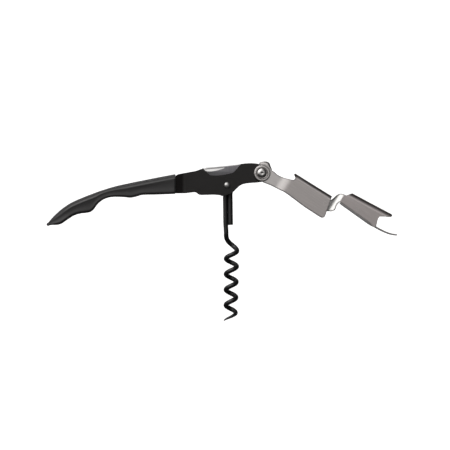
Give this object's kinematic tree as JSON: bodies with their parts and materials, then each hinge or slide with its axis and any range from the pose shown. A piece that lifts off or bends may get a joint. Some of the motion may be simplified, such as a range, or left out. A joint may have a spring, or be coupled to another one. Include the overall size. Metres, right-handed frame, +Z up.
{
  "type": "waiters corkscrew",
  "caption": "Double-hinged waiter's corkscrew: black handle with grip, folding wire worm, foil knife and two-stage steel bottle lever.",
  "frame": {"origin": "centre of the bounding box of the tool as it stands open, worm down and lever out", "axes": "+X from the grip's tail towards the lever, +Y across the tool to its far side, +Z up, the worm points down -Z"},
  "size_m": [0.1926, 0.0154, 0.0878],
  "materials": {
    "black_steel": "satin black coating on pressed steel",
    "soft_grip": "matte dark grey moulded grip",
    "brushed_steel": "satin brushed stainless sheet",
    "bright_steel": "polished rivet steel",
    "blade_steel": "ground blade steel",
    "worm_coating": "smooth black non-stick coating"
  },
  "bodies": {
    "handle": {"frame_plate_near": "black_steel", "frame_plate_far": "black_steel", "frame_spacer": "black_steel", "grip": "soft_grip", "tail_peg": "black_steel", "tang_rivet_rear": "bright_steel", "tang_rivet_front": "bright_steel", "knife_spring": "bright_steel", "spring_pin": "bright_steel", "lever_rivet": "bright_steel", "worm_rivet": "bright_steel", "lever_washer_near": "bright_steel", "lever_washer_far": "bright_steel", "knife_spacer_near": "bright_steel", "knife_spacer_far": "bright_steel", "worm_spacer_near": "bright_steel", "worm_spacer_far": "bright_steel"},
    "worm": {"worm": "worm_coating"},
    "knife": {"knife_blade": "blade_steel"},
    "first_stage": {"lever_stage_1": "brushed_steel", "hinge_rivet_near": "bright_steel", "hinge_rivet_far": "bright_steel"},
    "second_stage": {"lever_stage_2": "brushed_steel", "guide_fork": "brushed_steel", "fork_rivet_near": "bright_steel", "fork_rivet_far": "bright_steel"}
  },
  "joints": [
    {"name": "lever_fold", "type": "hinge", "parent": "handle", "child": "first_stage", "pos_m": [0.0222, 0, 0.03735], "axis": [0, 1, 0], "range_deg": [0, 137]},
    {"name": "worm_fold", "type": "hinge", "parent": "handle", "child": "worm", "pos_m": [0.003, 0, 0.03085], "axis": [0, 1, 0], "range_deg": [0, 83.6]},
    {"name": "knife_open", "type": "hinge", "parent": "handle", "child": "knife", "pos_m": [0.0222, 0, 0.03735], "axis": [0, 1, 0], "range_deg": [0, 150]},
    {"name": "stage_hinge", "type": "hinge", "parent": "first_stage", "child": "second_stage", "pos_m": [0.05671, 0, 0.0207], "axis": [0, 1, 0], "range_deg": [0, 12]}
  ],
  "couplings": [
    {"joint": "worm_fold", "follows": "lever_fold", "ratio": 0.60949}
  ]
}
